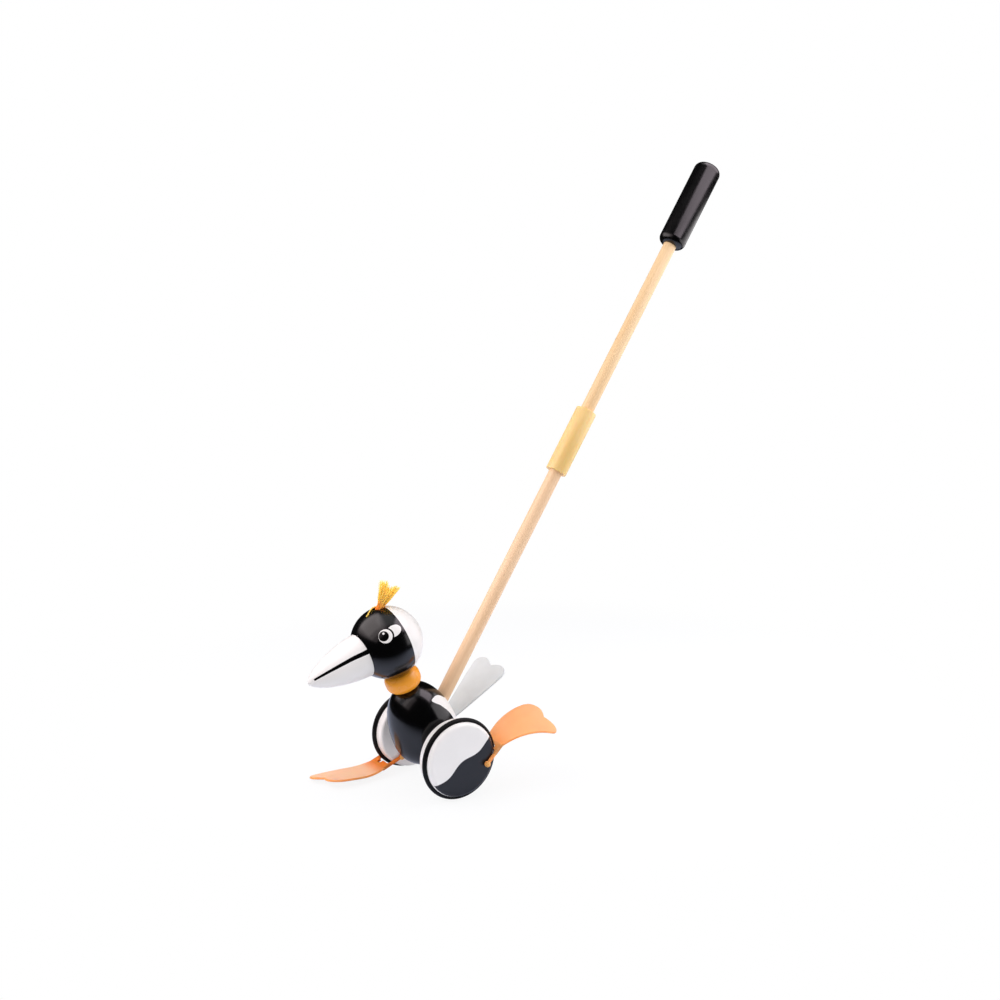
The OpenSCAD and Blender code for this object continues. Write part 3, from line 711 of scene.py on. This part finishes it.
def build_wheel(label, side, pin):
    groove_z = WHEEL_W - TYRE_INSET
    groove_half = math.degrees(math.acos((TYRE_RING_R - WHEEL_R) / TYRE_R))
    back_r, face_r = WHEEL_R - WHEEL_INNER_ROUND, WHEEL_R - WHEEL_OUTER_ROUND
    profile = [(0.0, AXLE_SOCKET), (AXLE_BORE_R, AXLE_SOCKET), (AXLE_BORE_R, 0.0)]
    profile += flat_steps(AXLE_BORE_R + BORE_RIM, back_r - BACK_RIM, 0.0, WHEEL_BACK_STEPS)
    profile += arc((back_r, WHEEL_INNER_ROUND), WHEEL_INNER_ROUND, -90, 0, WHEEL_ROUND_STEPS)
    profile += arc((TYRE_RING_R, groove_z), TYRE_R, 180 + groove_half, 180 - groove_half, WHEEL_ROUND_STEPS)
    profile += arc((face_r, WHEEL_W - WHEEL_OUTER_ROUND), WHEEL_OUTER_ROUND, 0, 90, WHEEL_EDGE_STEPS)
    profile += flat_steps(face_r - FACE_RIM, 0.0, WHEEL_W, WHEEL_FACE_STEPS)
    points, faces = turned(profile, WHEEL_TURNS)
    place = on_axle(side)
    angle = math.radians(pin)
    seen_pin = math.degrees(math.atan2(math.sin(angle), side * math.cos(angle)))
    slope = math.radians(seen_pin + WAVE_TURN)
    marks = []
    for p in points:
        at = place @ Vector(p)
        across, up = side * (at.y - AXLE_Y), at.z - AXLE_Z
        along = across * math.cos(slope) + up * math.sin(slope)
        high = -across * math.sin(slope) + up * math.cos(slope)
        edge = WAVE_OFF + WAVE_HIGH * math.sin(2 * math.pi * along / WAVE_LONG + WAVE_START)
        marks.append((edge - high, p[2] - (WHEEL_W - WAVE_LAP), 0.0))
    finish = painted_lacquer(f"{label}_wheel_lacquer", place, wheel_paint, SLATE_LACQUER, SLATE_ROUGH)
    make_piece(f"{label}_wheel_disc", points, faces, place, finish, "wheel_set",
               [f"{label}_wheel"], {"wave": marks})


# ---------------- feet and tail


def toe_line(u, length, step):
    """Where the sheet ends, across its width from u = -1 to 1."""
    wide = abs(u)
    if wide < 0.5:
        cut = TOE_NOTCH * (1 - 2 * wide) ** NOTCH_POWER
    else:
        deep = TOE_ROUND * (LONG_TOE_ROUND if u > 0 and step else 1)
        cut = deep * (1 - math.sqrt(max(0.0, 1 - (2 * wide - 1) ** 2)))
    return length + step * u / 2 - cut


def bent(s, bend):
    """Place along the sheet, height and slope in degrees after the bend, s millimetres from its start."""
    first, last, whole = bend
    rate = max(whole, LEAST_BEND) / (last - first)
    turn = rate * max(0.0, min(s, last) - first)
    radius = 180 / (math.pi * rate)
    rest = max(0.0, s - last)
    a = math.radians(turn)
    return (min(s, first) + radius * math.sin(a) + rest * math.cos(a),
            -radius * (1 - math.cos(a)) - rest * math.sin(a), turn)


def sheet_point(x, s, n, form):
    """A point of the flat sheet, x across, s along and n up, carried to the bent and twisted one."""
    f = max(0.0, (s - form["root"]) / (form["length"] - form["root"]) - form["hold"]) / (1 - form["hold"])
    along, high, slope = bent(s, form["bend"])
    turn, a = math.radians(form["twist"] * f), math.radians(slope)
    lift = n * math.cos(turn) - x * math.sin(turn)
    return (x * math.cos(turn) + n * math.sin(turn) + form["splay"] * f ** SPLAY_POWER,
            along + lift * math.sin(a), high + lift * math.cos(a))


SHEET_ACROSS, SHEET_ALONG, RIM_STEPS = 44, 64, 8
# How sharply the flat faces draw in to leave room for the round edge, at the sides and at the ends.
SIDE_PULL, END_PULL = 6, 8


def webbed_sheet(form):
    """Points, faces and marks of a round-edged webbed flap; marks are how far from the rim and along."""
    half = SHEET_T / 2
    points, faces, marks = [], [], []

    def flat(i, j):
        u, v = 2 * i / SHEET_ACROSS - 1, j / SHEET_ALONG
        run = toe_line(u, form["length"], form["step"]) - form["root"]
        s = form["root"] + v * run
        g = max(0.0, v - form["hold"]) / (1 - form["hold"])
        widening = 1 - (1 - g) ** form["flare"]
        x = u * (form["root_half"] + (form["tip_half"] - form["root_half"]) * widening)
        to_side = (1 - abs(u)) * abs(x / u) if u else form["tip_half"]
        drawn_in = Vector((x - half * math.copysign(abs(u) ** SIDE_PULL, u),
                           s - half * v ** END_PULL + half * (1 - v) ** END_PULL))
        return drawn_in, min(to_side, (1 - v) * run)

    def put(place, n, rim):
        points.append(sheet_point(place.x, place.y, n, form))
        marks.append((rim, place.y if form["stem"] else 2 * form["length"], 0.0))
        return len(points) - 1

    grid = {(i, j): flat(i, j) for i in range(SHEET_ACROSS + 1) for j in range(SHEET_ALONG + 1)}
    top = {key: put(at, half, rim + half) for key, (at, rim) in grid.items()}
    low = {key: put(at, -half, rim + half) for key, (at, rim) in grid.items()}
    for i in range(SHEET_ACROSS):
        for j in range(SHEET_ALONG):
            square = [(i, j), (i + 1, j), (i + 1, j + 1), (i, j + 1)]
            faces.append([top[k] for k in square])
            faces.append([low[k] for k in reversed(square)])
    loop = [(i, 0) for i in range(SHEET_ACROSS)] + [(SHEET_ACROSS, j) for j in range(SHEET_ALONG)]
    loop += [(i, SHEET_ALONG) for i in range(SHEET_ACROSS, 0, -1)]
    loop += [(0, j) for j in range(SHEET_ALONG, 0, -1)]
    rows = []
    for k, key in enumerate(loop):
        way = (grid[loop[(k + 1) % len(loop)]][0] - grid[loop[k - 1]][0]).normalized()
        out = Vector((way.y, -way.x))
        row = [top[key]]
        for step in range(1, RIM_STEPS):
            round_at = math.pi / 2 - math.pi * step / RIM_STEPS
            row.append(put(grid[key][0] + out * half * math.cos(round_at), half * math.sin(round_at),
                           half * (1 - math.cos(round_at))))
        rows.append(row + [low[key]])
    for row, following in zip(rows, rows[1:] + rows[:1]):
        for k in range(RIM_STEPS):
            faces.append([row[k], row[k + 1], following[k + 1], following[k]])
    return points, faces, marks


# The eye's edge is rounded, its bore has a small lip, and the leg runs into the yoke.
EYE_LIP, EYE_ROUND, EYE_CORNER, EYE_TURNS = 0.3, 0.5, 0.15, 40
LEG_RUNS, LEG_SIDES, LEG_SQUARE, LEG_SINK = 16, 16, 0.5, 1.0


def fork_leg(x, start):
    """A rounded leg with its eye: points, faces and marks; x is the leg's middle; faces count from start."""
    points, faces = [], []
    inner, outer, half = PIN_BORE_R, LEG_EYE_R, LEG_T / 2
    rim = [(inner, -half + EYE_LIP), (inner + EYE_LIP, -half), (outer - EYE_ROUND, -half),
           (outer - EYE_CORNER, -half + EYE_CORNER), (outer, -half + EYE_ROUND), (outer, half - EYE_ROUND),
           (outer - EYE_CORNER, half - EYE_CORNER), (outer - EYE_ROUND, half), (inner + EYE_LIP, half),
           (inner, half - EYE_LIP)]
    for k in range(EYE_TURNS):
        a = 2 * math.pi * k / EYE_TURNS
        points += [(x + side, r * math.cos(a), r * math.sin(a)) for r, side in rim]
    for k in range(EYE_TURNS):
        a, b = start + k * len(rim), start + (k + 1) % EYE_TURNS * len(rim)
        for i in range(len(rim)):
            faces.append((a + i, a + (i + 1) % len(rim), b + (i + 1) % len(rim), b + i))
    base = start + len(points)
    first, last = LEG_EYE_R - EYE_ROUND, FORK_LEN + LEG_SINK
    for run in range(LEG_RUNS + 1):
        s = first + (last - first) * run / LEG_RUNS
        for k in range(LEG_SIDES):
            a = 2 * math.pi * (k + 0.5) / LEG_SIDES
            c, d = math.cos(a), math.sin(a)
            points.append((x + LEG_T / 2 * math.copysign(abs(c) ** LEG_SQUARE, c), s,
                           LEG_W / 2 * math.copysign(abs(d) ** LEG_SQUARE, d)))
    faces += ring_faces(base, LEG_RUNS + 1, LEG_SIDES)
    return points, faces, [(SHEET_T, p[1], 0.0) for p in points]


# The yoke's edge follows the wheel's rim, with a small gusset at each leg.
YOKE_EASE, YOKE_EASE_STEPS, YOKE_EDGE, NOTCH_STEPS = 0.5, 4, 13.55, 16
INNER_GUSSET = [(-9.2, 12.0), (-8.7, 12.8), (-7.7, 13.55)]
OUTER_GUSSET = [(6.2, 13.55), (7.2, 13.2), (8.2, 12.3), (9.2, 10.6)]


def yoke_plate(start):
    """The plate that joins the legs, notched for the tyre, with rounded edges; faces count from start."""
    side, deep = FOOT_ROOT_HALF, FORK_LEN + LEG_W
    notch = arc((NOTCH_X, NOTCH_END - NOTCH_R), NOTCH_R, 180, 0, NOTCH_STEPS)
    outline = [(-side, INNER_GUSSET[0][1]), *INNER_GUSSET, (NOTCH_X - NOTCH_R, YOKE_EDGE), *notch,
               (NOTCH_X + NOTCH_R, YOKE_EDGE), *OUTER_GUSSET, (side, OUTER_GUSSET[-1][1]),
               (side, deep), (-side, deep)]
    inward = []
    for before, at, after in zip(outline[-1:] + outline, outline, outline[1:] + outline[:1]):
        a = (Vector(at) - Vector(before)).normalized()
        b = (Vector(after) - Vector(at)).normalized()
        inward.append(Vector((-a.y - b.y, a.x + b.x)))
    points, faces = [], []
    angles = [math.pi / 2 * k / YOKE_EASE_STEPS for k in range(YOKE_EASE_STEPS + 1)]
    rows = [(YOKE_EASE * (1 - math.sin(a)), LEG_W / 2 - YOKE_EASE * (1 - math.cos(a))) for a in angles]
    for inset, height in rows + [(inset, -height) for inset, height in reversed(rows)]:
        points += [(at[0] + way.x * inset, at[1] + way.y * inset, height) for at, way in zip(outline, inward)]
    count = len(outline)
    for row in range(2 * len(rows) - 1):
        for k in range(count):
            a, b = start + row * count + k, start + row * count + (k + 1) % count
            faces.append((a, b, b + count, a + count))
    faces.append(tuple(start + k for k in range(count)))
    faces.append(tuple(start + len(points) - count + k for k in range(count)))
    return points, faces, [(SHEET_T, p[1], 0.0) for p in points]


# Face, cut edge and stem of each sheet. The right foot's face is paler than the left's: a painted sheen,
# standing in for the pale light its sheet catches from the left softbox at a grazing angle; its stem is a
# deeper orange than the left's. A glow is how far red, green and blue light run inside a sheet, against one
# another.
FOOT_TONES_AND_SHEEN = {"left": ("#fbb074", "#f8a257", "#fba257"), "right": ("#ffc8a2", "#f8a257", "#f07c14")}
TAIL_SHADES = ("#d8dfe2", "#cdd3d6", "#d8dfe2")
FOOT_GLOW, TAIL_GLOW = (1.0, 0.45, 0.2), (1.0, 0.95, 0.9)


def build_foot(label, side, pin, turn, bend, twist):
    form = dict(
        root=FORK_LEN, root_half=FOOT_ROOT_HALF, tip_half=FOOT_TOE_W / 2, flare=FOOT_FLARE,
        length=FOOT_LEN, step=TOE_STEP, bend=bend, twist=twist, hold=0.0, stem=True,
        splay=FOOT_SPREAD - FOOT_TOE_W / 2 * math.cos(math.radians(twist)))
    points, faces, marks = webbed_sheet(form)
    leg_x = FORK_HALF + LEG_T / 2
    extras = [lambda start: fork_leg(leg_x, start), lambda start: fork_leg(-leg_x, start), yoke_plate]
    for extra in extras:
        more_points, more_faces, more_marks = extra(len(points))
        points, faces, marks = points + more_points, faces + more_faces, marks + more_marks
    place = at_pin(side, pin, turn) @ Matrix.Diagonal((side, 1, 1, 1))
    # the right foot's pale face colour is a painted sheen from the left softbox
    finish = soft_sheet(f"{label}_foot_pvc", place, *FOOT_TONES_AND_SHEEN[label], FOOT_GLOW)
    make_piece(f"{label}_web_foot", points, faces, place, finish, f"{label}_foot",
               [f"{label}_foot"], {"sheet": marks}, crease=SHEET_CREASE)


def build_tail():
    form = dict(
        root=0.0, root_half=TAIL_ROOT_HALF, tip_half=TAIL_TIP_HALF, flare=TAIL_FLARE, length=TAIL_LEN,
        step=0.0, bend=(0.0, TAIL_LEN, 0.0), twist=TAIL_TWIST, hold=TAIL_HOLD / TAIL_LEN, stem=False,
        splay=0.0)
    points, faces, marks = webbed_sheet(form)
    finish = soft_sheet("tail_pvc", on_tail, *TAIL_SHADES, TAIL_GLOW)
    make_piece("tail_web", points, faces, on_tail, finish, "bird", ["tail"],
               {"sheet": marks}, crease=SHEET_CREASE)


# ---------------- stick sleeve


def build_sleeve():
    inner = STICK_R + STICK_GAP
    low_lip, high_lip = (inner, SLEEVE_LIP), (inner, SLEEVE_LEN - SLEEVE_LIP)
    corners = [(inner, 0.0), (SLEEVE_R, 0.0), (SLEEVE_R, SLEEVE_LEN), (inner, SLEEVE_LEN)]
    profile = eased([low_lip] + corners + [high_lip], SLEEVE_EASE)
    points, faces = turned(profile + [profile[0]], SLEEVE_TURNS)
    place = on_stick @ shift(0, 0, SLEEVE_START)
    finish = moulded("sleeve_soft_pvc", place, "#f4d596", "#e9c47a", streak_mm=(6.0, 6.0, 60.0),
                     rough=(0.35, 0.5), skin_mm=1.2, skin_high_mm=0.02, subsurface=0.35)
    make_piece("sleeve_tube", points, faces, place, finish, "bird", ["stick_sleeve"])


# ---------------- the toy

build_body()
build_head()
build_beak()
build_crest()
build_wheel("left", 1, LEFT_PIN)
build_wheel("right", -1, RIGHT_PIN)
for label, foot in FEET.items():
    build_foot(label, **foot)
build_tail()
build_sleeve()


def refinish(nodes, finish):
    """A CAD node whose shape is right keeps it and takes a better finish."""
    for name in nodes:
        held = frame["nodes"][name].data.materials
        held.clear()
        held.append(finish)


refinish(["neck_ring"], lacquer("orange_lacquer", on_lean, ORANGE_LACQUER, ORANGE_ROUGH))
refinish(["grip"], lacquer("grip_lacquer", on_stick, BLACK_LACQUER, GRIP_ROUGH))
refinish(["lower_stick"], beech("lower_beech", on_stick, "#f5d3ae", "#e7bf94"))
refinish(["upper_stick"], beech("upper_beech", on_stick, "#f3d3a6", "#e4bd88"))
refinish(["axle", "neck_dowel", "beak_dowel", "left_spacer", "right_spacer"],
         beech("dowel_beech", across_axle, "#e9c79c", "#d6ab78"))
refinish(["left_tyre", "right_tyre"],
         moulded("tyre_rubber", across_axle, "#030303", "#070606", streak_mm=(5.0, 5.0, 5.0),
                 rough=(0.42, 0.55), skin_mm=0.8, skin_high_mm=0.03, sheen=0.2))
refinish(["left_foot_pin", "right_foot_pin"],
         moulded("pin_nylon", across_axle, "#f0b264", "#e6a04c", streak_mm=(4.0, 4.0, 4.0),
                 rough=(0.35, 0.45), skin_mm=1.0, skin_high_mm=0.01, subsurface=0.2))

# ---------------- camera, floor and light, in metres

CAMERA_AT = Vector((0.85996, -0.58362, 0.39617))
CAMERA_TURN, CAMERA_RISE = math.radians(57.16), math.radians(8.72)
LENS_MM, SENSOR_MM = 43.2, 36.0
right = Vector((math.cos(CAMERA_TURN), math.sin(CAMERA_TURN), 0))
back = Vector((math.sin(CAMERA_TURN) * math.cos(CAMERA_RISE),
               -math.cos(CAMERA_TURN) * math.cos(CAMERA_RISE), math.sin(CAMERA_RISE)))
up = back.cross(right)

lens = bpy.data.cameras.new("camera")
lens.lens, lens.sensor_width, lens.sensor_fit = LENS_MM, SENSOR_MM, "HORIZONTAL"
lens.clip_start, lens.clip_end = 0.01, 50
camera = bpy.data.objects.new("camera", lens)
camera.matrix_world = Matrix((
    (right.x, up.x, back.x, CAMERA_AT.x), (right.y, up.y, back.y, CAMERA_AT.y),
    (right.z, up.z, back.z, CAMERA_AT.z), (0, 0, 0, 1)))
bpy.context.scene.collection.objects.link(camera)
bpy.context.scene.camera = camera
bpy.context.scene.view_settings.view_transform = "Standard"

# The side of the toy that the studio is set up for. Floor, room and lamps keep to it in every view.
studio_front = back.copy()


def toward(turn, rise):
    """A direction so many degrees to the right of the studio's front and so many up."""
    turn, rise = math.radians(turn) + math.atan2(studio_front.y, studio_front.x), math.radians(rise)
    return Vector((math.cos(turn) * math.cos(rise), math.sin(turn) * math.cos(rise), math.sin(rise)))


def seen_rays(tree):
    """1 for rays straight from the camera or through something clear, and the node they are read from."""
    path = add(tree, "LightPath")
    return maths(tree, "MAXIMUM", path.outputs["Is Camera Ray"], path.outputs["Is Transmission Ray"]), path


FLOOR_AT, FLOOR_R, FLOOR_SIDES = (-0.166, 0.107), 0.5, 96
FLOOR_FADE_IN, FLOOR_FADE_OUT, FLOOR_GLOW, MIRROR_FADE_IN = 0.26, 0.46, 0.87, 0.32
FLOOR_WHITE, FLOOR_MIRRORED, FLOOR_FRONT = "#e9eef5", "#d2ddf4", "#14161a"

floor_mesh = bpy.data.meshes.new("floor")
floor_mesh.from_pydata([(x, y, 0) for x, y in circle(FLOOR_R, FLOOR_SIDES)], [], [tuple(range(FLOOR_SIDES))])
floor = bpy.data.objects.new("floor", floor_mesh)
floor.location = (*FLOOR_AT, 0)
bpy.context.scene.collection.objects.link(floor)

# Matt white paper: even and bright, so that it only carries a soft shadow and fades into the white round it.
# In reflections it is a little bluer, and it ends in the dark at the studio's front.
paper, tree = new_finish("matt_white_paper")
on_floor = add(tree, "TexCoord").outputs["Object"]
spot = add(tree, "VectorMath", {0: on_floor}, operation="LENGTH").outputs["Value"]
fade = smooth_run(tree, spot, FLOOR_FADE_IN, FLOOR_FADE_OUT, FLOOR_GLOW, 1.0)
seen, path = seen_rays(tree)
glow = maths(tree, "MULTIPLY", fade, seen)
near = add(tree, "VectorMath", {
    0: on_floor, 1: (studio_front.x, studio_front.y, 0)}, operation="DOT_PRODUCT").outputs["Value"]
dark_end = smooth_run(tree, near, MIRROR_FADE_IN, FLOOR_R)
mirrored = blend(tree, dark_end, linear(FLOOR_MIRRORED), linear(FLOOR_FRONT))
tone = blend(tree, path.outputs["Is Glossy Ray"], linear(FLOOR_WHITE), mirrored)
matt = add(tree, "BsdfDiffuse", {"Color": tone})
white = add(tree, "Emission", {"Color": (1, 1, 1, 1), "Strength": 1.0})
add(tree, "OutputMaterial", {"Surface": add(tree, "MixShader", {0: glow, 1: matt, 2: white})})
floor_mesh.materials.append(paper)

# The room: white to the eye; on matt surfaces a grey fill that is brighter from the white backdrop behind the
# toy; in reflections dark, with a pale ceiling.
FILL_FRONT, FILL_BACK, FILL_RUN = 0.52, 0.66, (-0.3, 0.7)
ROOM, CEILING, CEILING_RUN = 0.01, 0.8, (0.86, 0.96)
world = bpy.data.worlds.new("room")
bpy.context.scene.world = world
world.use_nodes = True
tree = world.node_tree
tree.nodes.clear()

sky_way = add(tree, "TexCoord").outputs["Generated"]
behind = add(tree, "VectorMath", {0: sky_way, 1: -studio_front}, operation="DOT_PRODUCT").outputs["Value"]
fill = smooth_run(tree, behind, *FILL_RUN, FILL_FRONT, FILL_BACK)
height = add(tree, "SeparateXYZ", {0: sky_way}).outputs["Z"]
mirror = smooth_run(tree, height, *CEILING_RUN, ROOM, CEILING)
seen, path = seen_rays(tree)
strength = add(tree, "Mix", {0: path.outputs["Is Glossy Ray"], 2: fill, 3: mirror})
strength = add(tree, "Mix", {0: seen, 2: strength, 3: 1.0})
add(tree, "OutputWorld", {"Surface": add(tree, "Background", {"Color": (1, 1, 1, 1), "Strength": strength})})

# A softbox on each side. The left one grows dimmer in two steps towards its edge. The right one lights only
# matt surfaces, and two cards stand for it in reflections: a low one, and a high one that the grip and the
# body's shoulder show. Each row: degrees to the right and up, metres away, width, height, watts, tint, and
# whether matt surfaces and reflections see it.
LAMPS = {
    "left_softbox": (-84, 50, 0.65, 0.70, 0.56, 1.3, "#fff7f5", True, True),
    "left_rim": (-77, 50, 0.67, 1.02, 0.74, 2.0, "#fff4f4", True, True),
    "left_spill": (-68, 50, 0.70, 1.40, 0.90, 2.6, "#ffeef1", True, True),
    "right_softbox": (103, 30, 0.65, 0.80, 0.74, 3.2, "#fffafc", True, False),
    "low_card": (103, 14, 0.65, 0.80, 0.37, 1.6, "#fffafc", False, True),
    "high_card": (94, 52, 0.70, 0.46, 0.42, 2.2, "#fdeef8", False, True),
}
LIT_SPOT = Vector((0.0, -0.13, 0.12))
for label, (turn, rise, away, wide, high, watts, tint, on_matt, in_gloss) in LAMPS.items():
    lamp = bpy.data.lights.new(label, "AREA")
    lamp.shape, lamp.size, lamp.size_y, lamp.energy = "RECTANGLE", wide, high, watts
    lamp.color = linear(tint)[:3]
    box = bpy.data.objects.new(label, lamp)
    box.visible_camera = False
    box.visible_diffuse, box.visible_glossy = on_matt, in_gloss
    lamp_way = toward(turn, rise)
    box.location = LIT_SPOT + lamp_way * away
    box.rotation_euler = lamp_way.to_track_quat("Z", "Y").to_euler()
    bpy.context.scene.collection.objects.link(box)
